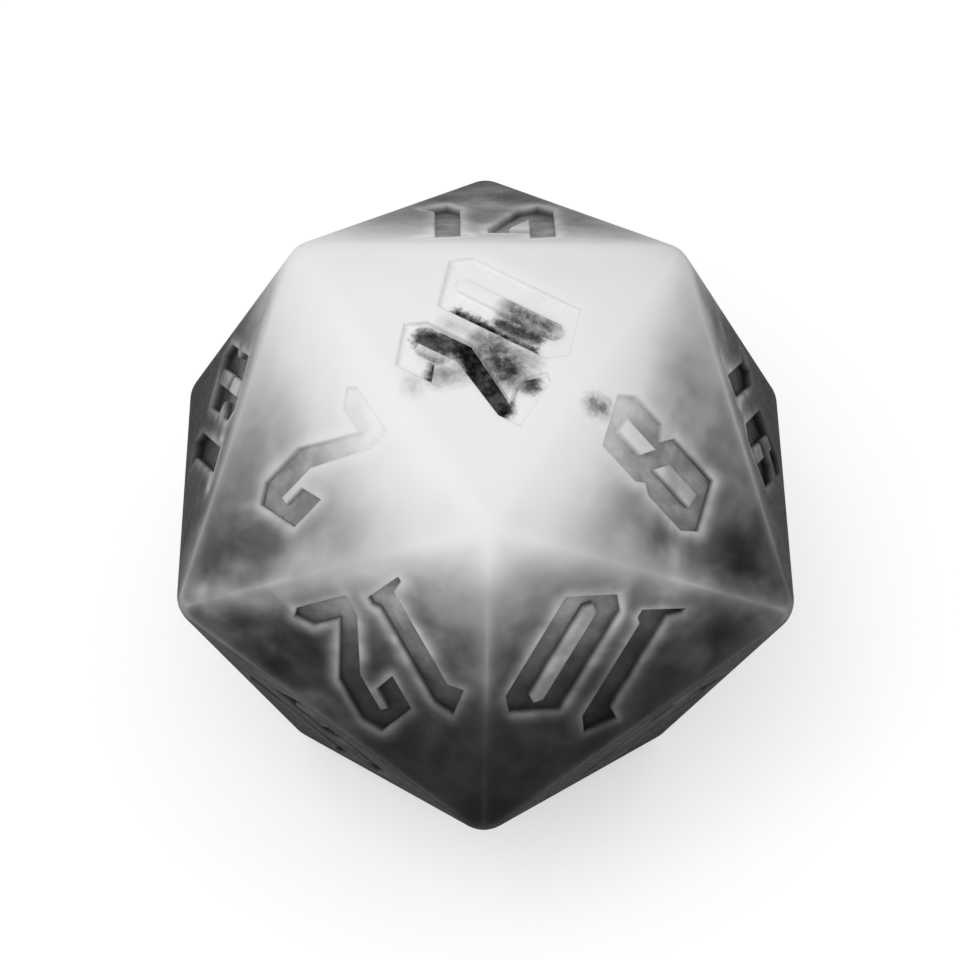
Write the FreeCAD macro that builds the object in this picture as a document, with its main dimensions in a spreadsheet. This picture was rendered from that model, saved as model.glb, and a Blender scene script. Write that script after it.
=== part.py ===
import FreeCAD, Part

import math
import os

import Sketcher
from FreeCAD import Placement, Rotation, Vector

# A twenty-sided die: one cast body, a rounded regular icosahedron with a numeral sunk into each
# face, and a thin layer of ink on the floor of every numeral.
# Frame, in millimetres: origin at the centre of the die, +Z up through the face numbered 20, and
# one corner of that face towards -Y. The die rests on the face numbered 1.

# ---------------------------------------------------------------- driving dimensions

DIMENSIONS = {
    "corner_to_corner": 55.0,   # overall, between two opposite rounded corners
    "edge_radius": 2.5,         # radius of every edge and corner
    "engrave_depth": 0.9,       # from a face to the floor of its numeral
    "ink_thickness": 0.2,       # ink layer on that floor
    "digit_height": 12.1,       # between the slanted tips of a digit
    "digit_width": 5.2,
    "stroke_width": 1.95,
    "tip_slant": 1.35,          # how far a slanted tip rises above its lower end
    "corner_cut": 1.15,         # how far a tip stands in from the digit's side
    "bar_thickness": 1.6,       # bars that cross a digit
    "digit_gap": 1.1,           # between the two digits of a number
    "number_rise": 0.1,         # numbers stand this far above the centre of their face
    "dot_width": 1.7,           # the dot that tells 6 from 9
}

SHEET_NAME = "Dimensions"

doc = FreeCAD.newDocument("TwentySidedDie")
sheet = doc.addObject("Spreadsheet::Sheet", SHEET_NAME)
for row, (alias, size) in enumerate(DIMENSIONS.items(), start=1):
    sheet.set(f"A{row}", alias)
    sheet.set(f"B{row}", str(size))
    sheet.setAlias(f"B{row}", alias)
doc.recompute()


class Size:
    """A length as a number and as the text of an expression on the spreadsheet."""

    def __init__(self, value, text):
        self.value = value
        self.text = text

    def _combine(self, other, sign, value):
        other_text = other.text if isinstance(other, Size) else repr(other)
        return Size(value, f"({self.text} {sign} {other_text})")

    def __add__(self, other):
        return self._combine(other, "+", self.value + other.value)

    def __sub__(self, other):
        return self._combine(other, "-", self.value - other.value)

    def __mul__(self, factor):
        return self._combine(factor, "*", self.value * factor)

    def __neg__(self):
        return self * -1.0


def dimension(alias):
    return Size(DIMENSIONS[alias], f"{SHEET_NAME}.{alias}")


ZERO = Size(0.0, "0.0")

# ---------------------------------------------------------------- the icosahedron

GOLDEN = (1.0 + math.sqrt(5.0)) / 2.0
# Of a regular icosahedron with edges one unit long:
FACE_DISTANCE = GOLDEN ** 2 / (2.0 * math.sqrt(3.0))
CORNER_DISTANCE = math.sqrt(GOLDEN ** 2 + 1.0) / 2.0
TOP_RADIUS = 1.0 / math.sqrt(3.0)                # the three corners of the top face
MIDDLE_RADIUS = GOLDEN / math.sqrt(3.0)          # the six corners of the middle band
MIDDLE_HEIGHT = math.sqrt(CORNER_DISTANCE ** 2 - MIDDLE_RADIUS ** 2)


def corner(radius, height, degrees):
    angle = math.radians(degrees)
    return Vector(radius * math.cos(angle), radius * math.sin(angle), height)


CORNERS = {
    "front": corner(TOP_RADIUS, FACE_DISTANCE, 270),
    "right": corner(TOP_RADIUS, FACE_DISTANCE, 30),
    "left": corner(TOP_RADIUS, FACE_DISTANCE, 150),
    "upper_back": corner(MIDDLE_RADIUS, MIDDLE_HEIGHT, 90),
    "upper_left": corner(MIDDLE_RADIUS, MIDDLE_HEIGHT, 210),
    "upper_right": corner(MIDDLE_RADIUS, MIDDLE_HEIGHT, 330),
}
# The lower six corners are opposite the upper six.
OPPOSITE = {
    "lower_front": "upper_back",
    "lower_right": "upper_left",
    "lower_left": "upper_right",
    "bottom_back": "front",
    "bottom_left": "right",
    "bottom_right": "left",
}
for name, upper in OPPOSITE.items():
    CORNERS[name] = CORNERS[upper] * -1.0

# Number on a face: the corner above the number, then the two below it. Opposite faces add up
# to 21.
FACES = {
    20: ("left", "front", "right"),
    2: ("upper_left", "front", "left"),
    8: ("upper_right", "front", "right"),
    14: ("upper_back", "left", "right"),
    12: ("lower_front", "front", "upper_left"),
    10: ("lower_front", "front", "upper_right"),
    18: ("lower_left", "left", "upper_left"),
    16: ("lower_right", "right", "upper_right"),
    4: ("lower_left", "left", "upper_back"),
    6: ("lower_right", "right", "upper_back"),
    15: ("upper_left", "lower_front", "bottom_left"),
    17: ("upper_right", "lower_front", "bottom_right"),
    5: ("upper_left", "lower_left", "bottom_left"),
    3: ("upper_right", "lower_right", "bottom_right"),
    11: ("upper_back", "lower_left", "bottom_back"),
    9: ("upper_back", "lower_right", "bottom_back"),
    7: ("lower_front", "bottom_right", "bottom_left"),
    13: ("lower_left", "bottom_left", "bottom_back"),
    19: ("lower_right", "bottom_right", "bottom_back"),
    1: ("bottom_right", "bottom_left", "bottom_back"),
}

# The rounded die is a smaller sharp-edged core grown by the edge radius.
core_corner_distance = dimension("corner_to_corner") * 0.5 - dimension("edge_radius")
core_face_distance = core_corner_distance * (FACE_DISTANCE / CORNER_DISTANCE)
face_distance = core_face_distance + dimension("edge_radius")


def face_normal(number):
    total = Vector()
    for name in FACES[number]:
        total += CORNERS[name]
    return total.normalize()


def face_rotation(number):
    """Turns X to a number's right, Y to its top and Z out of its face."""
    normal = face_normal(number)
    up = CORNERS[FACES[number][0]] - normal * FACE_DISTANCE
    return Rotation(Vector(), up, normal, "ZYX")


def bind(target, path, size):
    target.setExpression(path, size.text)


def bind_along(target, path, direction, size):
    """Binds a position that lies at a distance from the origin along a direction."""
    for axis in "xyz":
        bind(target, f"{path}.{axis}", size * getattr(direction, axis))


def make_rounded_solid():
    discs = []
    for number in FACES:
        if number > 10:
            # One thick disc carries two opposite faces: this number and 21 less it.
            disc = doc.addObject("Part::Cylinder", f"Slab_{number}_{21 - number}")
            normal = face_normal(number)
            disc.Placement = Placement(Vector(), Rotation(Vector(0, 0, 1), normal))
            bind(disc, "Radius", dimension("corner_to_corner"))
            bind(disc, "Height", core_face_distance * 2.0)
            bind_along(disc, "Placement.Base", normal, -core_face_distance)
            discs.append(disc)
    core = doc.addObject("Part::MultiCommon", "SharpCore")
    core.Shapes = discs
    rounded = doc.addObject("Part::Offset", "RoundedSolid")
    rounded.Source = core
    rounded.Mode = "Skin"
    rounded.Join = "Arc"
    bind(rounded, "Value", dimension("edge_radius"))
    doc.recompute()
    return rounded


# ---------------------------------------------------------------- digit outlines

# Grid lines of a digit, measured from its centre.
tip = dimension("digit_height") * 0.5
shoulder = tip - dimension("tip_slant")
heel = tip - dimension("tip_slant") * 0.5
ledge = shoulder - dimension("bar_thickness") * 0.3
waist = dimension("bar_thickness") * 0.5
barb = waist * 2.0
hook = barb + waist
edge = dimension("digit_width") * 0.5
inner = edge - dimension("stroke_width")
cut = edge - dimension("corner_cut")
notch = edge - dimension("corner_cut") * 0.5
stem = dimension("stroke_width") * 0.5

DIGIT_0 = [
    [(-edge, -shoulder), (-edge, shoulder), (cut, tip), (edge, shoulder), (edge, -shoulder), (-cut, -tip)],
    [(-inner, -ledge), (-inner, ledge), (ZERO, shoulder), (inner, ledge), (inner, -ledge),
     (ZERO, -shoulder)],
]
DIGIT_1 = [
    [(-notch, ledge), (ZERO, tip), (stem, shoulder), (stem, -ledge), (cut, -shoulder), (cut, -heel),
     (-notch, -tip - waist * 0.5), (-notch, -tip), (-stem, -heel), (-stem, ledge - waist)],
]
DIGIT_2 = [
    [(-edge, shoulder), (stem, tip), (notch, shoulder), (notch, waist), (-stem, -ledge), (cut, -ledge),
     (edge, -heel), (notch, -tip), (-edge, -tip), (-edge, -ledge), (ZERO, waist), (ZERO, ledge),
     (-inner, ledge), (-inner, hook), (-edge, barb)],
]
DIGIT_3 = [
    [(-edge, shoulder), (cut, tip), (edge, shoulder), (edge, waist), (notch, ZERO), (edge, -waist),
     (edge, -shoulder), (-cut, -tip), (-edge, -shoulder), (-edge, -hook), (-inner, -hook - waist * 0.5),
     (-inner, -ledge), (inner, -ledge), (inner, -barb), (-stem, -waist), (-stem, waist), (inner, ZERO),
     (inner, ledge), (-inner, ledge), (-inner, hook), (-edge, barb)],
]
DIGIT_4 = [
    [(-edge, -ledge), (-edge, -hook), (ZERO, shoulder), (cut, tip), (edge, shoulder), (edge, -heel),
     (inner, -tip), (inner, -ledge)],
    [(-stem, -hook), (inner, waist), (inner, -hook)],
]
DIGIT_5 = [
    [(-edge, tip), (edge, tip), (notch, ledge), (-inner, ledge), (-inner, waist), (cut, barb), (edge, ZERO),
     (edge, -shoulder), (-cut, -tip), (-edge, -shoulder), (-edge, -hook), (-inner, -hook - waist * 0.5),
     (-inner, -ledge), (inner, -ledge), (inner, -waist), (-edge, -waist)],
]
DIGIT_6 = [
    [(-edge, -shoulder), (-edge, shoulder), (cut, tip), (edge, shoulder), (edge, hook),
     (inner, hook + waist * 0.5), (inner, ledge), (-inner, ledge), (-inner, waist), (cut, barb),
     (edge, ZERO), (edge, -shoulder), (-cut, -tip)],
    [(-inner, -ledge), (-inner, -waist), (inner, -waist), (inner, -ledge), (ZERO, -shoulder)],
]
DIGIT_7 = [
    [(-edge, hook), (-edge, tip), (edge, tip), (edge, ledge), (stem, ZERO), (stem, -heel), (-stem, -tip),
     (-stem, ZERO), (inner, ledge), (-cut, ledge)],
]
DIGIT_8 = [
    [(-edge, -shoulder), (-edge, -barb), (-cut, -waist), (-edge, ZERO), (-edge, shoulder), (cut, tip),
     (edge, shoulder), (edge, waist), (notch, ZERO), (edge, -waist), (edge, -shoulder), (-cut, -tip)],
    [(-inner, waist), (-inner, ledge), (inner, ledge), (inner, ZERO)],
    [(-inner, -ledge), (-inner, -waist), (inner, -barb), (inner, -ledge)],
]
# A 9 is a 6 turned upside down.
DIGIT_9 = [[(-across, -up) for across, up in wire] for wire in DIGIT_6]
DIGITS = [DIGIT_0, DIGIT_1, DIGIT_2, DIGIT_3, DIGIT_4, DIGIT_5, DIGIT_6, DIGIT_7, DIGIT_8, DIGIT_9]

dot = dimension("dot_width") * 0.5
DOT = [[(-dot, -shoulder), (ZERO, dot - shoulder), (dot, -shoulder), (ZERO, -shoulder - dot)]]


def glyphs_of(number):
    """The outlines of a number with how far each reaches left and right of its centre."""
    glyphs = []
    for digit in str(number):
        if digit == "1":
            glyphs.append((DIGIT_1, notch, notch))
        else:
            glyphs.append((DIGITS[int(digit)], edge, edge))
    if number in (6, 9):
        glyphs.append((DOT, dot, dot))
    return glyphs


def number_outlines(number):
    """Closed outlines of a whole number, centred on its face."""
    glyphs = glyphs_of(number)
    gap = dimension("digit_gap")
    width = gap * (len(glyphs) - 1.0)
    for _, left, right in glyphs:
        width = width + left + right
    start = -width * 0.5
    outlines = []
    for wires, left, right in glyphs:
        centre = start + left
        for wire in wires:
            outlines.append([(centre + across, dimension("number_rise") + up) for across, up in wire])
        start = centre + right + gap
    return outlines


# ---------------------------------------------------------------- sketches and features


def origin_plane(body, role):
    for feature in body.Origin.OriginFeatures:
        if feature.Role == role:
            return feature


def draw_outline(sketch, outline):
    """Adds one closed outline whose corners are tied to the spreadsheet."""
    points = [Vector(across.value, up.value, 0) for across, up in outline]
    first = sketch.GeometryCount
    count = len(points)
    sketch.addGeometry([Part.LineSegment(points[k], points[(k + 1) % count]) for k in range(count)], False)
    links = []
    for k in range(count):
        links.append(Sketcher.Constraint("Coincident", first + k, 2, first + (k + 1) % count, 1))
    sketch.addConstraint(links)
    for k, (across, up) in enumerate(outline):
        for direction, size in (("DistanceX", across), ("DistanceY", up)):
            index = sketch.addConstraint(Sketcher.Constraint(direction, -1, 1, first + k, 1, size.value))
            sketch.setExpression(f"Constraints[{index}]", size.text)


def sketch_number(body, number, distance):
    """Draws a number in its body, on a plane at a distance from the centre of the die."""
    sketch = body.newObject("Sketcher::SketchObject", f"{body.Name}_sketch_{number:02d}")
    sketch.AttachmentSupport = [(origin_plane(body, "XY_Plane"), "")]
    sketch.MapMode = "FlatFace"
    sketch.AttachmentOffset = Placement(Vector(), face_rotation(number))
    bind_along(sketch, "AttachmentOffset.Base", face_normal(number), distance)
    for outline in number_outlines(number):
        draw_outline(sketch, outline)
    return sketch


def make_die_body(rounded):
    body = doc.addObject("PartDesign::Body", "DieBody")
    body.Label = "die_body"
    body.BaseFeature = rounded
    doc.recompute()
    for number in FACES:
        volume_before = body.Shape.Volume
        pocket = body.newObject("PartDesign::Pocket", f"Numeral_{number:02d}")
        pocket.Profile = sketch_number(body, number, face_distance)
        pocket.Type = "Length"
        bind(pocket, "Length", dimension("engrave_depth"))
        doc.recompute()
        if body.Shape.Volume >= volume_before:
            raise RuntimeError(f"The numeral {number} cut nothing")
    return body


def make_ink(number):
    body = doc.addObject("PartDesign::Body", f"Ink_{number:02d}")
    body.Label = f"number_{number:02d}_ink"
    pad = body.newObject("PartDesign::Pad", f"Layer_{number:02d}")
    pad.Profile = sketch_number(body, number, face_distance - dimension("engrave_depth"))
    pad.Type = "Length"
    bind(pad, "Length", dimension("ink_thickness"))
    return body


def check_document():
    for feature in doc.Objects:
        for state in ("Invalid", "Error"):
            if state in feature.State:
                raise RuntimeError(f"{feature.Label} is {state}")


def write_parts(bodies):
    for body in bodies:
        if body.Shape.isNull() or not body.Shape.isValid():
            raise RuntimeError(f"{body.Label} has no valid shape")
    os.makedirs("parts", exist_ok=True)
    for body in bodies:
        body.Shape.exportStep(f"parts/{body.Label}.step")


pieces = [make_die_body(make_rounded_solid())]
for number in sorted(FACES):
    pieces.append(make_ink(number))
doc.recompute()
check_document()
write_parts(pieces)
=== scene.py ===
import math

import bmesh
import bpy
import numpy as np
from mathutils import Matrix, Vector, noise
from mathutils.geometry import delaunay_2d_cdt


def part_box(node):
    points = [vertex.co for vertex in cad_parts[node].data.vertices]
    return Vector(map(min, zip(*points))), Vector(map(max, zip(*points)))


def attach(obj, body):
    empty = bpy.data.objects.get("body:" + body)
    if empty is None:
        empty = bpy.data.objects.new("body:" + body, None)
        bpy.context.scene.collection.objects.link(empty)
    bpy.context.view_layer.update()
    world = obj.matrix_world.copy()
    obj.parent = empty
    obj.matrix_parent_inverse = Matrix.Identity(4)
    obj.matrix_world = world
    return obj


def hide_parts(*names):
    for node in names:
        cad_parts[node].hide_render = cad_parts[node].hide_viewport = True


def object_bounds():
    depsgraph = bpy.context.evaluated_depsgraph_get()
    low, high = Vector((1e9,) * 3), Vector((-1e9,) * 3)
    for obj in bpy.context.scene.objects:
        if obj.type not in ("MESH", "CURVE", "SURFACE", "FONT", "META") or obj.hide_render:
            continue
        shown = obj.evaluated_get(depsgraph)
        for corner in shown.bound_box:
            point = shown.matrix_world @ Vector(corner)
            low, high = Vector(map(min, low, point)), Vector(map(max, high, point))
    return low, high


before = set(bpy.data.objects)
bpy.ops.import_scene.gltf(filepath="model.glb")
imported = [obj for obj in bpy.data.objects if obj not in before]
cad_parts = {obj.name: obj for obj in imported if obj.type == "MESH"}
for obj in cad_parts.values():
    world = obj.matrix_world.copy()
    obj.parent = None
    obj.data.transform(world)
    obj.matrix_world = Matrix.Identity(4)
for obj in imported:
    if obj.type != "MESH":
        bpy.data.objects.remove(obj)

# A twenty-sided die of smoky resin, with painted light: pale at the top, where the light comes in, and
# charcoal below. The floors of its numerals carry grey ink, except the 20's, where the ink is black and
# partly worn off.
# Frame: metres, +Z through the face numbered 20, the corner called front towards -Y.
# On a face, a point is (right, up) from the face's middle, as its number is read.

CAD_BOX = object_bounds()
MM = 0.001

# ---------------------------------------------------------------- the die, from the frame

GOLDEN = (1 + math.sqrt(5)) / 2
# Of a regular icosahedron with edges one unit long:
FACE_DISTANCE = GOLDEN ** 2 / (2 * math.sqrt(3))
CORNER_DISTANCE = math.sqrt(GOLDEN ** 2 + 1) / 2
TOP_RADIUS = 1 / math.sqrt(3)
MIDDLE_RADIUS = GOLDEN / math.sqrt(3)
MIDDLE_HEIGHT = math.sqrt(CORNER_DISTANCE ** 2 - MIDDLE_RADIUS ** 2)

# The die is a sharp core grown by the rounding. Its half height and half depth give both sizes.
_, body_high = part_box("die_body")
CORE_EDGE = (body_high.y - body_high.z) / (MIDDLE_RADIUS - FACE_DISTANCE)
ROUNDING = body_high.z - FACE_DISTANCE * CORE_EDGE
FACE_HEIGHT = body_high.z
SHARP_EDGE = FACE_HEIGHT / FACE_DISTANCE


def corner(radius, height, degrees):
    angle = math.radians(degrees)
    return np.array([radius * math.cos(angle), radius * math.sin(angle), height])


CORNERS = {
    "front": corner(TOP_RADIUS, FACE_DISTANCE, 270),
    "right": corner(TOP_RADIUS, FACE_DISTANCE, 30),
    "left": corner(TOP_RADIUS, FACE_DISTANCE, 150),
    "upper_back": corner(MIDDLE_RADIUS, MIDDLE_HEIGHT, 90),
    "upper_left": corner(MIDDLE_RADIUS, MIDDLE_HEIGHT, 210),
    "upper_right": corner(MIDDLE_RADIUS, MIDDLE_HEIGHT, 330),
}
OPPOSITE = {
    "lower_front": "upper_back",
    "lower_right": "upper_left",
    "lower_left": "upper_right",
    "bottom_back": "front",
    "bottom_left": "right",
    "bottom_right": "left",
}
for name, upper in OPPOSITE.items():
    CORNERS[name] = -CORNERS[upper]

# Number on a face: the corner above the number, then the two below it.
FACES = {
    20: ("left", "front", "right"),
    2: ("upper_left", "front", "left"),
    8: ("upper_right", "front", "right"),
    14: ("upper_back", "left", "right"),
    12: ("lower_front", "front", "upper_left"),
    10: ("lower_front", "front", "upper_right"),
    18: ("lower_left", "left", "upper_left"),
    16: ("lower_right", "right", "upper_right"),
    4: ("lower_left", "left", "upper_back"),
    6: ("lower_right", "right", "upper_back"),
    15: ("upper_left", "lower_front", "bottom_left"),
    17: ("upper_right", "lower_front", "bottom_right"),
    5: ("upper_left", "lower_left", "bottom_left"),
    3: ("upper_right", "lower_right", "bottom_right"),
    11: ("upper_back", "lower_left", "bottom_back"),
    9: ("upper_back", "lower_right", "bottom_back"),
    7: ("lower_front", "bottom_right", "bottom_left"),
    13: ("lower_left", "bottom_left", "bottom_back"),
    19: ("lower_right", "bottom_right", "bottom_back"),
    1: ("bottom_right", "bottom_left", "bottom_back"),
}


class Face:
    """A face of the die: its number's right and top, the outward direction, and its middle."""

    def __init__(self, number):
        up, base, other_base = (CORNERS[name] for name in FACES[number])
        self.number = number
        middle = (up + base + other_base) / 3
        self.out = middle / np.linalg.norm(middle)
        self.top = (up - middle) / np.linalg.norm(up - middle)
        self.right = np.cross(self.top, self.out)
        self.middle = self.out * FACE_HEIGHT

    def flat(self, points):
        """Points in space, as (right, up) on the face."""
        offset = np.asarray(points) - self.middle
        return np.stack([offset @ self.right, offset @ self.top], axis=-1)

    def space(self, flat, depth=0.0):
        """(right, up) on the face, at a depth below it, as points in space."""
        return self.middle - self.out * depth + flat[..., :1] * self.right + flat[..., 1:] * self.top


def triangle(edge):
    """The corners of a face with this edge, anticlockwise from its top, as (right, up)."""
    angles = [math.radians(degrees) for degrees in (90, 210, 330)]
    radius = edge / math.sqrt(3)
    return np.array([(radius * math.cos(angle), radius * math.sin(angle)) for angle in angles])


def distance_inside(points, edge):
    """How far points stand inside the nearest side of a face with this edge; negative outside."""
    sides = [math.radians(degrees) for degrees in (270, 30, 150)]
    normals = np.array([(math.cos(angle), math.sin(angle)) for angle in sides])
    inner_radius = edge / (2 * math.sqrt(3))
    return inner_radius - (points @ normals.T).max(axis=1)


def nearest_on_segments(points, starts, ends):
    """The nearest point of any segment to each point, and its distance."""
    along = ends - starts
    offset = points[:, None, :] - starts[None]
    reach = np.clip((offset * along).sum(2) / (along ** 2).sum(1), 0, 1)
    candidates = starts + reach[..., None] * along
    gaps = np.linalg.norm(points[:, None, :] - candidates, axis=2)
    best = gaps.argmin(axis=1)
    rows = np.arange(len(points))
    return candidates[rows, best], gaps[rows, best]


def rounded(face, flat):
    """(right, up) on the sharp face, brought on to the rounded die, as points in space."""
    core = triangle(CORE_EDGE)
    on_side, _ = nearest_on_segments(flat, core, np.roll(core, -1, axis=0))
    inside = distance_inside(flat, CORE_EDGE) >= 0
    nearest = np.where(inside[:, None], flat, on_side)
    base = face.space(nearest, ROUNDING)
    lift = face.space(flat) - base
    return base + lift * (ROUNDING / np.linalg.norm(lift, axis=1, keepdims=True))


# ---------------------------------------------------------------- painted light and streaks in the resin

# The edges are given painted light, as if light came in through them.
LEAK_DEPTH = 1.2 * MM       # how deep light soaks in through an edge
EDGE_TURN = math.acos(math.sqrt(5) / 3)     # between the outward directions of neighbouring faces
CREST_DEPTH = ROUNDING * (1 - math.cos(EDGE_TURN / 2))      # from a face to the crest of its edge


def edge_light_at(points):
    """How strongly the painted light of an edge lights each point, and how far below the nearest face
    it lies.
    """
    depths = np.sort([FACE_HEIGHT - points @ Face(number).out for number in FACES], axis=0)
    return np.exp((CREST_DEPTH - depths[1]) / LEAK_DEPTH), depths[0]


# Streaks of smoke, and a few of painted light: face, (right, up) of both ends and radius in mm, and how
# much paler
# they make the resin: the tone is multiplied by e to this power.
SMOKE_STREAKS_AND_PAINTED_LIGHT = [
    (2, (-1.5, 9.5), (0.5, 11.5), 2.2, -0.50),
    (2, (-7.5, 1.5), (-6.5, 1.5), 1.8, -0.20),
    # a painted highlight at the corner above the 2
    (2, (0.0, 15.0), (0.0, 16.0), 3.5, 0.60),
    (8, (0.0, 9.0), (0.6, 8.0), 2.2, -0.35),
    (8, (3.4, 8.5), (4.6, 5.5), 1.3, 0.40),
    (8, (-3.0, 8.0), (-4.5, 5.0), 1.3, 0.25),
    (8, (-7.0, 0.5), (-5.5, -0.5), 2.0, -0.20),
    (8, (6.0, 3.5), (7.0, 3.0), 1.5, -0.25),
    # a painted highlight at the corner above the 8
    (8, (0.0, 15.0), (0.0, 16.0), 3.5, 0.35),
    (12, (4.5, -1.0), (10.0, -4.5), 1.8, -0.60),
    (12, (5.5, 4.0), (9.5, -1.0), 1.5, 0.50),
    (12, (-8.5, 1.5), (-8.0, -3.0), 1.8, -0.30),
    (12, (-11.0, -6.5), (-6.0, -5.0), 3.0, -0.20),
    # painted light beside the edge below the 12
    (12, (-2.0, -8.0), (12.0, -8.0), 2.2, 0.65),
    (10, (-11.5, -6.0), (-8.5, -4.5), 1.6, -0.20),
    (10, (-9.5, -1.5), (-6.0, -4.0), 1.2, 0.35),
    (10, (7.0, 3.0), (8.0, -2.5), 1.8, -0.20),
    (10, (11.0, -6.5), (6.0, -5.0), 3.0, -0.15),
    # painted light beside the edge below the 10
    (10, (-12.0, -8.0), (2.0, -8.0), 2.2, 0.60),
    # painted sheen on the 14, seen at a slant: paler at its top, darker at its bottom
    (14, (0.0, 7.0), (0.0, 13.0), 4.5, 0.80),
    (14, (-8.0, -5.0), (8.0, -5.0), 3.5, -0.20),
]
# The same for the painted light along the edges; the last two are painted highlights at the corners
# above the 2 and the 8.
PAINTED_EDGE_LIGHT_STREAKS = [
    (2, (-4.5, 9.0), (0.0, 17.0), 1.3, 0.15),
    (8, (5.5, 7.5), (1.0, 15.0), 1.0, 0.15),
    (12, (-4.5, 9.0), (0.0, 17.0), 3.0, -0.45),
    (12, (-11.0, -2.0), (-6.5, 6.0), 2.5, -0.15),
    (2, (0.0, 15.5), (0.0, 17.0), 2.0, 0.25),
    (8, (0.0, 15.5), (0.0, 17.0), 2.0, 0.25),
]

# Noise that bends the streaks: its seed, and its size and reach in mm, from coarse to fine.
STREAK_SEED = 5
STREAK_BENDS = [(6.0, 2.0), (2.0, 1.0)]


def pushed_about(points, size, strength):
    """The points, moved by noise."""
    pushes = [noise.noise_vector(Vector(point / (size * MM))) for point in points]
    return points + np.array(pushes) * (strength * MM)


def streak_at(points, streaks):
    """What the streaks multiply the tone by at points of the die's surface."""
    noise.seed_set(STREAK_SEED)
    pushed = points
    for size, strength in STREAK_BENDS:
        pushed = pushed_about(pushed, size, strength)
    total = np.zeros(len(points))
    for number, start, end, radius, change in streaks:
        ends = Face(number).space(np.array([start, end]) * MM)
        _, gaps = nearest_on_segments(pushed, ends[:1], ends[1:])
        total += change * np.exp(-(gaps / (radius * MM)) ** 2)
    return np.exp(total)


# ---------------------------------------------------------------- numeral outlines, from the inks

SAME_DEPTH = 0.01 * MM      # points this close in depth lie on one plane
OUTLINE_DECIMALS = 4        # of a mm; points doubled in the ink's mesh fall together again
SHARPEST_MITRE = 1.0        # keeps the corners of a grown outline from shooting out


def ink_name(number):
    return f"number_{number:02d}_ink"


def ink_depths(face):
    """How far below the face the ink's top and its underside lie."""
    spots = np.array([v.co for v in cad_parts[ink_name(face.number)].data.vertices])
    depths = FACE_HEIGHT - spots @ face.out
    return depths.min(), depths.max()


def numeral_outlines(face):
    """Closed outlines of a numeral as (right, up) points, with the recess on their left."""
    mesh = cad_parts[ink_name(face.number)].data
    top_depth, _ = ink_depths(face)
    spots = np.array([v.co for v in mesh.vertices])
    on_top = np.abs(FACE_HEIGHT - spots @ face.out - top_depth) < SAME_DEPTH
    flat = np.round(face.flat(spots) / MM, OUTLINE_DECIMALS)
    edges = set()
    for polygon in mesh.polygons:
        ring = list(polygon.vertices)
        if on_top[ring].all():
            for k in range(len(ring)):
                start, end = tuple(flat[ring[k - 1]]), tuple(flat[ring[k]])
                if (end, start) in edges:
                    edges.remove((end, start))
                else:
                    edges.add((start, end))
    following = dict(sorted(edges))
    outlines = []
    while following:
        start = min(following)
        outline = [start]
        while following[outline[-1]] != start:
            outline.append(following.pop(outline[-1]))
        following.pop(outline[-1])
        outlines.append(np.array(outline) * MM)
    return outlines


def grown(outline, distance):
    """The outline's corners moved away from the recess, mitred."""
    along = np.roll(outline, -1, axis=0) - outline
    along /= np.linalg.norm(along, axis=1, keepdims=True)
    after = np.stack([along[:, 1], -along[:, 0]], axis=1)
    before = np.roll(after, 1, axis=0)
    mitre = after + before
    stretch = 2 / np.maximum((mitre ** 2).sum(1, keepdims=True), SHARPEST_MITRE)
    return outline + mitre * (distance * stretch)


def divided(outline, counts):
    """The outline with each side cut into a number of equal steps."""
    ends = np.roll(outline, -1, axis=0)
    steps = [start + (end - start) * np.arange(count)[:, None] / count
             for start, end, count in zip(outline, ends, counts)]
    return np.concatenate(steps)


# ---------------------------------------------------------------- the body's mesh

LATTICE_STEPS = 54          # along a side of a face's flat
ROUNDING_ROWS = 4           # from the flat to the middle of a rounded edge
RIM_RADIUS = 0.22 * MM      # rounding of a numeral's rim
RIM_STEPS = 3
WALL_STEPS = 2
LATTICE_PITCH = CORE_EDGE / LATTICE_STEPS
RIM_CLEARANCE = 0.5 * LATTICE_PITCH
FAR_FROM_RIMS = 9 * MM
# Islands within a numeral get more of the painted rim light.
RIM_SHARE_ENCLOSED = 0.55   # islands within a numeral are lit from all round, as if nearer to a rim
SMALLEST_TRIANGLE = 1e-4    # in square mm
SAME_POINT = 1e-5           # points nearer than this count as one, in mm
WELD_DISTANCE = 0.001 * MM
SHARP_ANGLE = math.radians(38)


def lattice_points():
    """Points over a sharp face: a triangular lattice on its flat and rows over the rounding."""
    top, left, right = triangle(CORE_EDGE)
    points = []
    for i in range(LATTICE_STEPS + 1):
        for j in range(LATTICE_STEPS + 1 - i):
            points.append(top + (left - top) * i / LATTICE_STEPS + (right - top) * j / LATTICE_STEPS)
    reach = math.atan((SHARP_EDGE - CORE_EDGE) / (2 * math.sqrt(3)) / ROUNDING)
    for row in range(1, ROUNDING_ROWS + 1):
        offset = ROUNDING * math.tan(reach * row / ROUNDING_ROWS)
        ring = triangle(CORE_EDGE + offset * 2 * math.sqrt(3))
        points.extend(divided(ring, [LATTICE_STEPS] * 3))
    return np.array(points)


LATTICE = lattice_points()


def inside_outlines(points, outlines):
    """True for points inside an odd number of the outlines."""
    odd = np.zeros(len(points), bool)
    for outline in outlines:
        for start, end in zip(outline, np.roll(outline, -1, axis=0)):
            spans = (start[1] > points[:, 1]) != (end[1] > points[:, 1])
            rise = end[1] - start[1] if end[1] != start[1] else 1.0
            crossing = start[0] + (points[:, 1] - start[1]) / rise * (end[0] - start[0])
            odd ^= spans & (points[:, 0] < crossing)
    return odd


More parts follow.
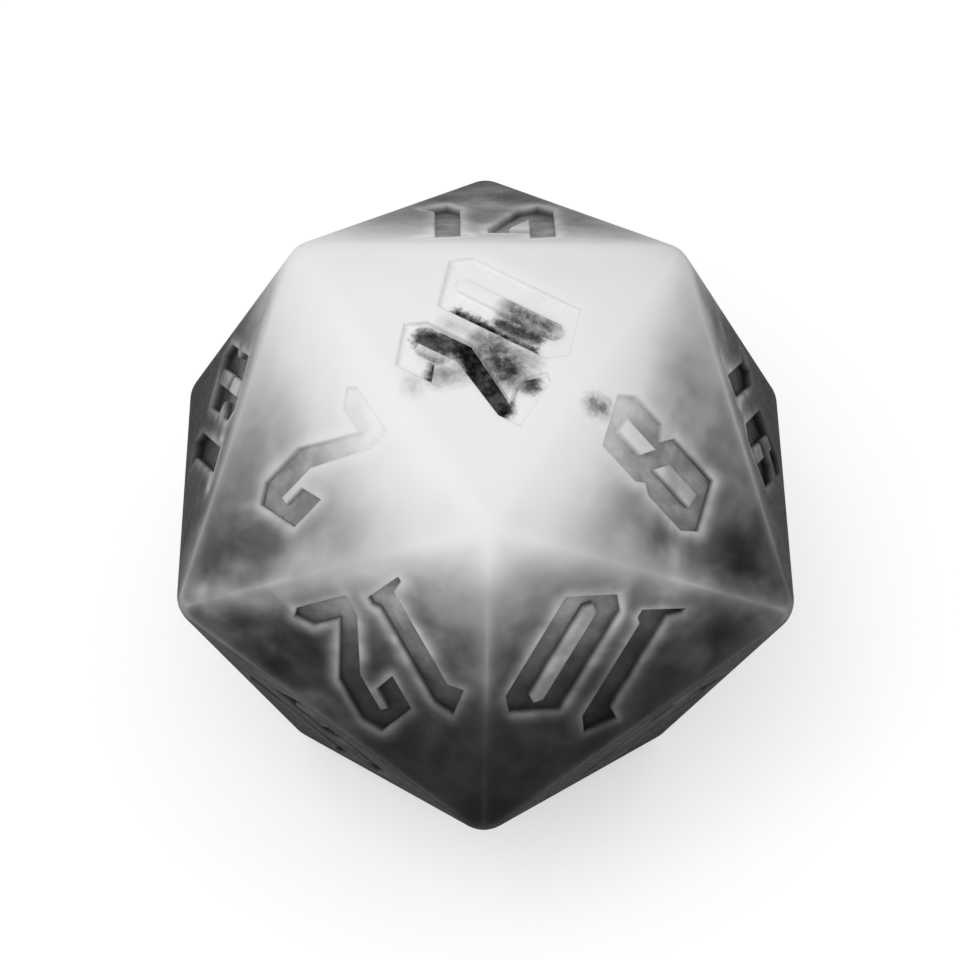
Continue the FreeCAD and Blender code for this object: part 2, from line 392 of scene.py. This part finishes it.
def triangulate(free_points, outlines):
    """Triangles over free points and closed outlines: points, triangles, and which lie inside."""
    points = [*free_points]
    sides = []
    for outline in outlines:
        first, count = len(points), len(outline)
        points.extend(outline)
        sides.extend((first + k, first + (k + 1) % count) for k in range(count))
    scaled = [Vector(point / MM) for point in points]
    made, _, triangles, *_ = delaunay_2d_cdt(scaled, sides, [], 0, SAME_POINT)
    made, triangles = np.array(made), np.array(triangles)
    first, second, third = (made[triangles[:, k]] for k in range(3))
    across, along = second - first, third - first
    area = (across[:, 0] * along[:, 1] - across[:, 1] * along[:, 0]) / 2
    triangles = triangles[area > SMALLEST_TRIANGLE]
    made *= MM
    return made, triangles, inside_outlines(made[triangles].mean(axis=1), outlines)


class Surface:
    """Collects points, with their distance from a rim and their depth below the face, and faces."""

    def __init__(self):
        self.points, self.rim, self.depth, self.faces = [], [], [], []

    def add_points(self, points, rim, depth):
        first = len(self.points)
        self.points.extend(points)
        self.rim.extend(np.broadcast_to(rim, len(points)))
        self.depth.extend(np.broadcast_to(depth, len(points)))
        return first

    def add_triangles(self, first, triangles):
        self.faces.extend((triangles + first).tolist())

    def join_rings(self, first, second, count):
        for k in range(count):
            after = (k + 1) % count
            self.faces.append([first + k, first + after, second + after, second + k])


def steps_along(outline):
    """How many steps each side of an outline is cut into."""
    lengths = np.linalg.norm(np.roll(outline, -1, axis=0) - outline, axis=1)
    return np.maximum(np.ceil(lengths / LATTICE_PITCH), 1).astype(int)


def add_skin(surface, face, outlines, rims):
    """The rounded face around a numeral. Gives the place of each rim's first point."""
    starts = np.concatenate(outlines)
    ends = np.concatenate([np.roll(outline, -1, axis=0) for outline in outlines])
    _, gaps = nearest_on_segments(LATTICE, starts, ends)
    free = LATTICE[(gaps > RIM_RADIUS + RIM_CLEARANCE) & ~inside_outlines(LATTICE, outlines)]
    points, triangles, inside = triangulate(free, rims)
    _, gaps = nearest_on_segments(points, starts, ends)
    enclosed = np.any([inside_outlines(points, [outline]) for outline in outlines], axis=0)
    gaps = np.where(enclosed, gaps * RIM_SHARE_ENCLOSED, np.minimum(gaps, FAR_FROM_RIMS))
    first = surface.add_points(rounded(face, points), gaps, 0.0)
    surface.add_triangles(first, triangles[~inside])
    # The rims' points follow the free ones, in the order in which they were given.
    return [first + len(free) + sum(len(rim) for rim in rims[:k]) for k in range(len(rims))]


def add_walls(surface, face, outlines, counts, rings, recess_depth):
    """Goes over each rim's rounding and down to the floor of the recess, ring by ring."""
    turns = [math.pi / 2 * step / RIM_STEPS for step in range(1, RIM_STEPS + 1)]
    levels = [(RIM_RADIUS * (1 - math.sin(turn)), RIM_RADIUS * (1 - math.cos(turn))) for turn in turns]
    for step in range(1, WALL_STEPS + 1):
        levels.append((0.0, RIM_RADIUS + (recess_depth - RIM_RADIUS) * step / WALL_STEPS))
    for offset, depth in levels:
        for k, outline in enumerate(outlines):
            ring = divided(grown(outline, offset), counts[k])
            first = surface.add_points(face.space(ring, depth), offset, depth)
            surface.join_rings(rings[k], first, len(ring))
            rings[k] = first


def add_face(surface, face):
    """The rounded face with its recessed numeral."""
    outlines = numeral_outlines(face)
    counts = [steps_along(outline) for outline in outlines]
    _, recess_depth = ink_depths(face)
    rims = [divided(grown(outline, RIM_RADIUS), count) for outline, count in zip(outlines, counts)]
    rings = add_skin(surface, face, outlines, rims)
    add_walls(surface, face, outlines, counts, rings, recess_depth)
    feet = [divided(outline, count) for outline, count in zip(outlines, counts)]
    floor, triangles, inside = triangulate([], feet)
    first = surface.add_points(face.space(floor, recess_depth), 0.0, recess_depth)
    surface.add_triangles(first, triangles[inside])


def surface_channels(surface):
    """What the resin's material reads at each point, by name."""
    points, sunk = np.array(surface.points), np.array(surface.depth)
    leak, below = edge_light_at(points)
    return {
        # leak is the painted light of the edges.
        "leak": leak,                               # 1 on the crest of an edge, fading away from it
        "crest": (below - sunk) / CREST_DEPTH,      # 1 on the crest, 0 on the flats
        "rim": np.array(surface.rim) / MM,          # mm from the rim of a numeral
        "depth": sunk / MM,                         # mm below the face
        "smoke_streak_and_painted_light": streak_at(points, SMOKE_STREAKS_AND_PAINTED_LIGHT),
        "painted_edge_light_streak": streak_at(points, PAINTED_EDGE_LIGHT_STREAKS),
    }


def build_body():
    surface = Surface()
    for number in FACES:
        add_face(surface, Face(number))
    mesh = bpy.data.meshes.new("die_casting")
    mesh.from_pydata([tuple(point) for point in surface.points], [], surface.faces)
    for name, values in surface_channels(surface).items():
        mesh.attributes.new(name, "FLOAT", "POINT").data.foreach_set("value", values)
    joined = bmesh.new()
    joined.from_mesh(mesh)
    bmesh.ops.remove_doubles(joined, verts=joined.verts, dist=WELD_DISTANCE)
    joined.to_mesh(mesh)
    joined.free()
    mesh.shade_smooth()
    mesh.set_sharp_from_angle(angle=SHARP_ANGLE)
    body = bpy.data.objects.new("die_casting", mesh)
    bpy.context.scene.collection.objects.link(body)
    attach(body, "root")
    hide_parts("die_body")
    return body


# ---------------------------------------------------------------- shader graphs

SCREEN_GAMMA = 2.2
NOISE_RANGE = (0.3, 0.7)    # nearly all of a noise texture lies in here


class Graph:
    """A material's node tree with short calls. A value is a socket, a number or a tuple."""

    def __init__(self, name):
        self.material = bpy.data.materials.new(name)
        self.material.use_nodes = True
        self.tree = self.material.node_tree
        self.surface = self.tree.nodes["Principled BSDF"]
        # The point being shaded, in mm.
        self.position = self.vector("SCALE", self.node("TexCoord").outputs["Object"], scale=1 / MM)

    def feed(self, socket, value):
        if isinstance(value, bpy.types.NodeSocket):
            self.tree.links.new(value, socket)
        else:
            socket.default_value = value

    def node(self, kind, inputs=None, **settings):
        made = self.tree.nodes.new("ShaderNode" + kind)
        for name, value in settings.items():
            setattr(made, name, value)
        for key, value in (inputs or {}).items():
            self.feed(made.inputs[key], value)
        return made

    def attribute(self, name):
        return self.node("Attribute", attribute_name=name).outputs["Fac"]

    def math(self, operation, *values, clamp=False):
        made = self.node("Math", dict(enumerate(values)), operation=operation, use_clamp=clamp)
        return made.outputs[0]

    def vector(self, operation, *values, scale=None):
        inputs = dict(enumerate(values))
        if scale is not None:
            inputs["Scale"] = scale
        made = self.node("VectorMath", inputs, operation=operation)
        gives_number = operation in ("DISTANCE", "DOT_PRODUCT", "LENGTH")
        return made.outputs["Value" if gives_number else "Vector"]

    def noise(self, position, size, detail=2.0, roughness=0.5, colour=False):
        inputs = {"Vector": position, "Scale": 1 / size, "Detail": detail, "Roughness": roughness}
        made = self.node("TexNoise", inputs)
        return made.outputs["Color" if colour else 0]

    def band(self, value, start, end, low=0.0, high=1.0):
        """A smooth step from low at start to high at end."""
        inputs = {0: value, 1: start, 2: end, 3: low, 4: high}
        return self.node("MapRange", inputs, interpolation_type="SMOOTHSTEP").outputs[0]

    def spread(self, noise_value, low, high):
        """A noise, stretched to run smoothly from low to high."""
        return self.band(noise_value, *NOISE_RANGE, low, high)

    def mix(self, factor, first, second):
        return self.node("Mix", {0: factor, 2: first, 3: second}, data_type="FLOAT").outputs[0]

    def curve(self, value, stops):
        """A smooth curve through {value: result}, with results between 0 and 1."""
        start, end = min(stops), max(stops)
        place = self.node("MapRange", {0: value, 1: start, 2: end}).outputs[0]
        ramp = self.node("ValToRGB", {0: place})
        ramp.color_ramp.interpolation = "CARDINAL"
        marks = ramp.color_ramp.elements
        while len(marks) < len(stops):
            marks.new(0.5)
        for mark, (at, level) in zip(marks, sorted(stops.items())):
            mark.position = (at - start) / (end - start)
            mark.color = (level, level, level, 1)
        return ramp.outputs["Color"]

    def finish(self, tone, tint, roughness, bump_height, bump_depth):
        """Paints a tone, given as seen on a screen, with a roughness and a relief in mm."""
        light = self.math("POWER", tone, SCREEN_GAMMA)
        colour = self.vector("MULTIPLY", light, tint)
        self.feed(self.surface.inputs["Base Color"], colour)
        self.feed(self.surface.inputs["Roughness"], roughness)
        bump = self.node("Bump", {"Height": bump_height, "Distance": bump_depth * MM, "Strength": 1.0})
        self.feed(self.surface.inputs["Normal"], bump.outputs[0])
        return self.material


# ---------------------------------------------------------------- materials

# Painted light: the resin's colour pales towards this point above the die, in mm, to the left and the
# front of its middle.
GLOW_POINT = (-5.6, -5.0, 70.9)

# Tones by distance from that point in mm, paler nearer to it as painted light: on the edges and rims,
# in open areas, and on the ink.
EDGE_TONES = {46: 0.91, 50: 0.90, 54: 0.82, 57: 0.67, 60: 0.58, 66: 0.43, 73: 0.23, 94: 0.16}
OPEN_TONES = {46: 0.91, 50: 0.90, 54: 0.75, 57: 0.52, 60: 0.36, 65: 0.22, 73: 0.165, 80: 0.12, 94: 0.11}
INK_TONES = {46: 0.92, 50: 0.92, 54: 0.79, 57: 0.57, 60: 0.56, 66: 0.30, 73: 0.16, 94: 0.11}
LIGHTEST_TONE = 0.91

# The same distances: where the painted light fades from pale to dim, where it turns deep, and where ink
# starts to pool.
DIM_BAND = (51.0, 63.0)
DEEP_BAND = (56.0, 70.0)
POOLING_BAND = (49.0, 60.0)

# Painted highlights, added to the tone of dim resin, right at a rim and on the crest of an edge.
PAINTED_RIM_HIGHLIGHT = 0.07
PAINTED_CREST_HIGHLIGHT = 0.10
HAZY_CREST = 0.5                # how much of the line along a crest is left in the thickest haze
# Distances from a rim in mm: where its painted light ends and is full, and where the smoke starts and
# is full.
RIM_LIGHT_BAND = (0.8, 0.1)
OFF_RIM_BAND = (0.1, 1.4)
# Values in pale resin and in deep resin.
LINE_SHARES = (0.0, 0.45)       # share of an edge's light that is a thin line on its crest
EDGE_FALLS = (1.0, 2.2)         # how steeply the rest falls off beside the edge
SMOKE_GAINS = (0.6, 2.4)        # how much the haze varies the smoke's cover
SMOKE_STARTS = (0.25, -0.3)     # the cover where there is no haze
# Painted shade on the walls of recesses: depths in mm where it starts and is full, and its factor in
# pale and in dim resin; in pale resin the factor lightens them instead.
WALL_BAND = (0.1, 0.6)
WALL_SHADES = (1.12, 0.6)

# How far noise changes things, as (least, most).
MOTTLE = (0.84, 1.16)           # of the resin's tone, as a factor
POOLING = (0.85, 1.15)          # of the grey ink's tone, as a factor
SMUDGE_TONES = (0.1, 0.62)
BLACK_INK_TONES = (0.08, 0.36)
RESIN_ROUGHNESS = (0.42, 0.56)
GREY_INK_ROUGHNESS = (0.5, 0.66)

# Where the noise that thins the black ink starts and is full.
THINNED_BAND = (0.35, 0.7)
# Values where the black ink has worn off, and where it is left.
BLACK_INK_SPECULAR = (0.1, 0.03)
BLACK_INK_ROUGHNESS = (0.5, 0.8)

RESIN_TINT = (0.985, 1.0, 0.995)
GREY_INK_TINT = (0.99, 1.0, 1.0)
BLACK_INK_TINT = (1.0, 1.0, 1.0)
DULL_SPECULAR = 0.1

FACE_REACH = 1.5        # marks on a face go this far below it, in mm
FRAY = 1.3              # how far the edges of ink marks wander, in mm


def swirled(graph, size, strength):
    """The position, pushed about by noise."""
    push = graph.vector("SUBTRACT", graph.noise(graph.position, size, colour=True), (0.5, 0.5, 0.5))
    return graph.vector("ADD", graph.position, graph.vector("SCALE", push, scale=strength))


def on_face(graph, number):
    """The position as (right, up) on a face in mm, and 1 near that face but 0 elsewhere."""
    face = Face(number)
    right = graph.vector("DOT_PRODUCT", graph.position, tuple(face.right))
    up = graph.vector("DOT_PRODUCT", graph.position, tuple(face.top))
    height = graph.vector("DOT_PRODUCT", graph.position, tuple(face.out))
    place = graph.node("CombineXYZ", {0: right, 1: up}).outputs[0]
    return place, graph.math("GREATER_THAN", height, FACE_HEIGHT / MM - FACE_REACH)


def marks(graph, number, strokes, softness):
    """Where round-ended strokes of ink lie on a face. Their edges are ragged."""
    place, near = on_face(graph, number)
    ragged = graph.noise(graph.position, size=0.45, detail=5.0, roughness=0.75)
    ragged = graph.math("SUBTRACT", ragged, 0.5)
    total = 0.0
    for start, end, radius, strength in strokes:
        along = Vector(end) - Vector(start)
        offset = graph.vector("SUBTRACT", place, (*start, 0.0))
        reach = graph.vector("DOT_PRODUCT", offset, (*(along / along.length_squared), 0.0))
        reach = graph.math("ADD", reach, 0.0, clamp=True)
        nearest = graph.vector("SCALE", (*along, 0.0), scale=reach)
        gap = graph.vector("LENGTH", graph.vector("SUBTRACT", offset, nearest))
        gap = graph.math("MULTIPLY_ADD", ragged, FRAY, gap)
        stroke = graph.band(gap, radius + softness, radius - softness, 0.0, strength)
        total = graph.math("MAXIMUM", total, stroke)
    return graph.math("MULTIPLY", total, near)


# Strokes of ink: (right, up) of both ends and radius in mm, and strength.
INKED_STROKES = [
    ((-2.3, 4.2), (-1.5, 1.4), 0.95, 0.95),
    ((-1.6, 0.8), (-4.8, -3.6), 1.1, 1.0),
    ((-5.5, 2.0), (-4.3, 2.4), 0.35, 0.9),
    ((-1.9, -4.7), (-1.1, -4.3), 0.65, 0.95),
    ((1.0, 3.4), (1.0, -3.2), 0.35, 1.0),
    ((1.8, 0.0), (2.0, -2.8), 0.6, 0.9),
]
SMUDGES_BY_THE_20 = [
    ((-0.9, -0.8), (-2.0, -3.0), 1.3, 0.95),
    ((-0.6, 0.6), (-0.4, -3.6), 0.7, 0.7),
    ((3.0, -0.3), (3.0, -3.4), 0.7, 1.0),
    ((-5.0, 1.6), (-4.0, 0.4), 0.7, 0.6),
    ((-3.9, 3.4), (-3.7, 2.0), 0.4, 0.7),
    ((-7.0, 2.6), (-6.6, 2.8), 0.3, 0.35),
    ((-0.6, 3.2), (-0.2, 1.0), 0.4, 0.3),
]
SMUDGE_BY_THE_8 = [((0.4, -6.4), (0.9, -7.2), 0.3, 1.0)]


def smudged(graph, number, strokes, tone):
    """The tone under thin, speckled smudges of ink on a face."""
    speckle = graph.noise(graph.position, size=1.2, detail=6.0, roughness=0.75)
    ink = graph.spread(speckle, *SMUDGE_TONES)
    return graph.mix(marks(graph, number, strokes, softness=1.1), tone, ink)


def resin_lit_tone(graph, distance, dim, crest):
    """Painted light: the tone of the resin where light comes in, along edges and rims."""
    rim_light = graph.band(graph.attribute("rim"), *RIM_LIGHT_BAND, 0.0, PAINTED_RIM_HIGHLIGHT)
    gain = graph.math("MULTIPLY_ADD", crest, PAINTED_CREST_HIGHLIGHT, rim_light)
    tone = graph.math("MULTIPLY_ADD", gain, dim, graph.curve(distance, EDGE_TONES))
    return graph.math("MULTIPLY", tone, graph.attribute("painted_edge_light_streak"))


def resin_open_tone(graph):
    """The tone of the smoke in the resin, away from edges and rims, paler towards the glow point as
    painted light.
    """
    distance = graph.vector("DISTANCE", swirled(graph, size=7.0, strength=3.0), GLOW_POINT)
    return graph.math("MULTIPLY", graph.curve(distance, OPEN_TONES), graph.attribute("smoke_streak_and_painted_light"))


def resin_tone(graph):
    """Painted light along edges and rims, darker smoke everywhere else, and painted shade on the walls
    of recesses.
    """
    distance = graph.vector("DISTANCE", graph.position, GLOW_POINT)
    dim = graph.band(distance, *DIM_BAND)
    deep = graph.band(distance, *DEEP_BAND)
    swirl = swirled(graph, size=9.0, strength=5.0)
    haze = graph.noise(swirl, size=7.0, detail=3.0, roughness=0.5)
    clearness = graph.spread(haze, 1.0, HAZY_CREST)
    crest = graph.math("MULTIPLY", graph.attribute("crest"), clearness, clamp=True)

    soft_light = graph.math("MINIMUM", graph.attribute("leak"), 1.0)
    soft_light = graph.math("POWER", soft_light, graph.mix(deep, *EDGE_FALLS))
    edge_light = graph.mix(graph.mix(deep, *LINE_SHARES), soft_light, crest)
    off_edge = graph.math("SUBTRACT", 1.0, edge_light)
    off_rim = graph.band(graph.attribute("rim"), *OFF_RIM_BAND)
    gain, start = graph.mix(deep, *SMOKE_GAINS), graph.mix(deep, *SMOKE_STARTS)
    smoke = graph.math("MULTIPLY_ADD", haze, gain, start, clamp=True)
    cover = graph.math("MULTIPLY", graph.math("MULTIPLY", off_edge, off_rim), smoke)
    tone = graph.mix(cover, resin_lit_tone(graph, distance, dim, crest), resin_open_tone(graph))

    mottle = graph.spread(graph.noise(swirl, size=3.0), *MOTTLE)
    mottle = graph.mix(graph.math("MULTIPLY", off_edge, dim), 1.0, mottle)
    tone = graph.math("MINIMUM", graph.math("MULTIPLY", tone, mottle), LIGHTEST_TONE)
    sunk = graph.band(graph.attribute("depth"), *WALL_BAND)
    shade = graph.mix(sunk, 1.0, graph.mix(dim, *WALL_SHADES))
    return graph.math("MULTIPLY", tone, shade)


def resin_material():
    graph = Graph("smoky_resin")
    tone = smudged(graph, 20, SMUDGES_BY_THE_20, resin_tone(graph))
    tone = smudged(graph, 8, SMUDGE_BY_THE_8, tone)
    grain = graph.noise(graph.position, size=0.35, detail=3.0)
    graph.feed(graph.surface.inputs["Specular IOR Level"], DULL_SPECULAR)
    roughness = graph.spread(grain, *RESIN_ROUGHNESS)
    return graph.finish(tone, RESIN_TINT, roughness, grain, bump_depth=0.012)


def ink_tone(graph):
    """Grey ink, a little thicker in places, and paler towards the glow point as painted light."""
    distance = graph.vector("DISTANCE", graph.position, GLOW_POINT)
    pooled = graph.noise(graph.position, size=2.5, detail=4.0, roughness=0.6)
    pooled = graph.mix(graph.band(distance, *POOLING_BAND), 1.0, graph.spread(pooled, *POOLING))
    return graph.math("MULTIPLY", graph.curve(distance, INK_TONES), pooled)


def grey_ink_material():
    graph = Graph("grey_ink")
    grain = graph.noise(graph.position, size=0.3, detail=3.0)
    graph.feed(graph.surface.inputs["Specular IOR Level"], DULL_SPECULAR)
    roughness = graph.spread(grain, *GREY_INK_ROUGHNESS)
    return graph.finish(ink_tone(graph), GREY_INK_TINT, roughness, grain, bump_depth=0.01)


def black_ink_material():
    """Black ink that has worn off in places, where grey ink shows."""
    graph = Graph("black_ink")
    grain = graph.noise(graph.position, size=0.3, detail=3.0)
    left = marks(graph, 20, INKED_STROKES, softness=0.5)
    thinned = graph.noise(graph.position, size=1.5, detail=5.0, roughness=0.7)
    black = graph.band(thinned, *THINNED_BAND, *BLACK_INK_TONES)
    tone = graph.mix(left, ink_tone(graph), black)
    specular = graph.band(left, 0.0, 1.0, *BLACK_INK_SPECULAR)
    graph.feed(graph.surface.inputs["Specular IOR Level"], specular)
    roughness = graph.band(left, 0.0, 1.0, *BLACK_INK_ROUGHNESS)
    return graph.finish(tone, BLACK_INK_TINT, roughness, grain, bump_depth=0.02)


def paint(obj, material):
    obj.data.materials.clear()
    obj.data.materials.append(material)


# ---------------------------------------------------------------- studio

FLOOR_HALF = 3.0
FLOOR_DROP = 0.05 * MM      # keeps the floor clear of the face that the die rests on
FLOOR_GREY = 0.6
# How bright the studio is, and how bright mirrored rays see it: the die shows no sheen.
FLOOR_GLOW, FLOOR_GLOW_MIRRORED = 0.5, 0.0
WORLD_GLOW, WORLD_GLOW_MIRRORED = 0.78, 0.2

KEY_PLACE = (-0.15, -0.2, 0.5)
KEY_SIZE = 0.35
KEY_POWER = 0.9

# The camera looks down on the front of the die, with hardly any perspective. Angles in degrees.
CAMERA_ELEVATION = 57.0
CAMERA_AZIMUTH = -1.4
CAMERA_ROLL = 1.65
CAMERA_DISTANCE = 14.2 * SHARP_EDGE
CAMERA_LENS = 199.4
CAMERA_SENSOR = 36.0
CAMERA_SHIFT = (-0.0049, 0.0187)
CAMERA_CLIP_START = 0.01


def add_floor():
    level = CAD_BOX[0].z - FLOOR_DROP
    corners = [(-1, -1), (1, -1), (1, 1), (-1, 1)]
    mesh = bpy.data.meshes.new("floor")
    mesh.from_pydata([(x * FLOOR_HALF, y * FLOOR_HALF, level) for x, y in corners], [], [(0, 1, 2, 3)])
    floor = bpy.data.objects.new("floor", mesh)
    bpy.context.scene.collection.objects.link(floor)
    graph = Graph("studio_floor")
    mirrored = graph.node("LightPath").outputs["Is Glossy Ray"]
    settings = {
        "Base Color": (FLOOR_GREY, FLOOR_GREY, FLOOR_GREY, 1),
        "Emission Color": (1, 1, 1, 1),
        "Emission Strength": graph.mix(mirrored, FLOOR_GLOW, FLOOR_GLOW_MIRRORED),
        "Roughness": 0.9,
        "Specular IOR Level": 0.0,
    }
    for name, value in settings.items():
        graph.feed(graph.surface.inputs[name], value)
    paint(floor, graph.material)


def add_world():
    world = bpy.data.worlds.new("studio")
    world.use_nodes = True
    tree = world.node_tree
    background = tree.nodes["Background"]
    background.inputs["Color"].default_value = (1, 1, 1, 1)
    rays = tree.nodes.new("ShaderNodeLightPath")
    strength = tree.nodes.new("ShaderNodeMapRange")
    strength.inputs["To Min"].default_value = WORLD_GLOW
    strength.inputs["To Max"].default_value = WORLD_GLOW_MIRRORED
    tree.links.new(rays.outputs["Is Glossy Ray"], strength.inputs["Value"])
    tree.links.new(strength.outputs["Result"], background.inputs["Strength"])
    bpy.context.scene.world = world


def add_key_light():
    light = bpy.data.lights.new("key", "AREA")
    light.size = KEY_SIZE
    light.energy = KEY_POWER
    lamp = bpy.data.objects.new("key", light)
    lamp.location = KEY_PLACE
    lamp.rotation_euler = (-Vector(KEY_PLACE)).to_track_quat("-Z", "Y").to_euler()
    bpy.context.scene.collection.objects.link(lamp)


def add_camera():
    elevation, azimuth = math.radians(CAMERA_ELEVATION), math.radians(CAMERA_AZIMUTH)
    level = math.cos(elevation)
    direction = Vector((math.sin(azimuth) * level, -math.cos(azimuth) * level, math.sin(elevation)))
    data = bpy.data.cameras.new("camera")
    data.sensor_width = CAMERA_SENSOR
    data.lens = CAMERA_LENS
    data.shift_x, data.shift_y = CAMERA_SHIFT
    data.clip_start = CAMERA_CLIP_START
    camera = bpy.data.objects.new("camera", data)
    aim = direction.to_track_quat("Z", "Y").to_matrix().to_4x4()
    roll = Matrix.Rotation(math.radians(CAMERA_ROLL), 4, "Z")
    camera.matrix_world = Matrix.Translation(direction * CAMERA_DISTANCE) @ aim @ roll
    bpy.context.scene.collection.objects.link(camera)
    bpy.context.scene.camera = camera


# ---------------------------------------------------------------- assembly

paint(build_body(), resin_material())
grey_ink, black_ink = grey_ink_material(), black_ink_material()
for number in FACES:
    paint(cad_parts[ink_name(number)], black_ink if number == 20 else grey_ink)

add_floor()
add_world()
add_key_light()
add_camera()
bpy.context.scene.view_settings.view_transform = "Standard"
